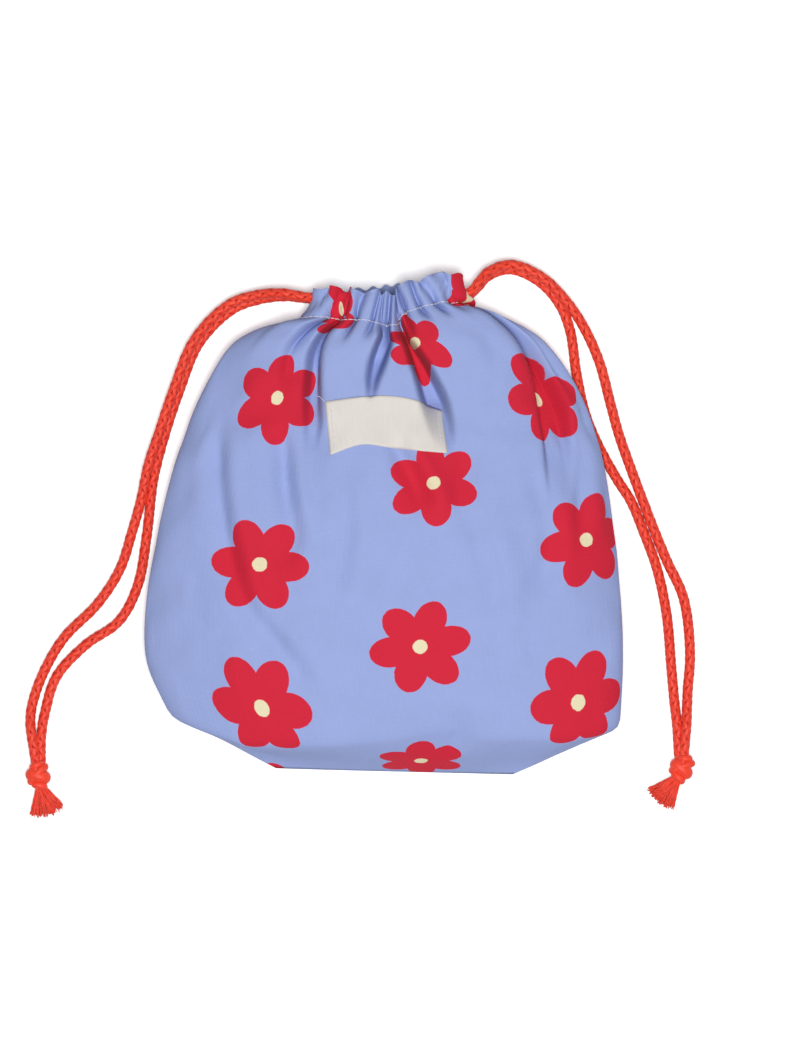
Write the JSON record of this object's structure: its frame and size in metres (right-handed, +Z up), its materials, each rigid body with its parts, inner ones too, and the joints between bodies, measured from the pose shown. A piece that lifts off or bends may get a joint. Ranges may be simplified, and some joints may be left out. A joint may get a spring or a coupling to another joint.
{
  "type": "drawstring pouch",
  "caption": "Gathered cloth drawstring pouch with a boxed base and a small bare label, drawn shut by two soft cords that are knotted and frayed at their ends, lying on its back.",
  "frame": {"origin": "on the surface the pouch lies on, under the middle of the pouch without its cords", "axes": "+Y towards the mouth, +Z up through the front with the label, +X to the right as the front is looked at"},
  "size_m": [0.3124, 0.2622, 0.0381],
  "materials": {
    "cloth": "printed plain-weave cotton, periwinkle blue with red and cream flowers",
    "label": "off-white woven cotton, bare",
    "cord": "orange-red soft braided cord with a light sheen"
  },
  "bodies": {
    "root": {"pouch_body": "cloth", "label": "label", "left_cord": "cord", "right_cord": "cord", "left_knot": "cord", "right_knot": "cord"}
  },
  "joints": []
}
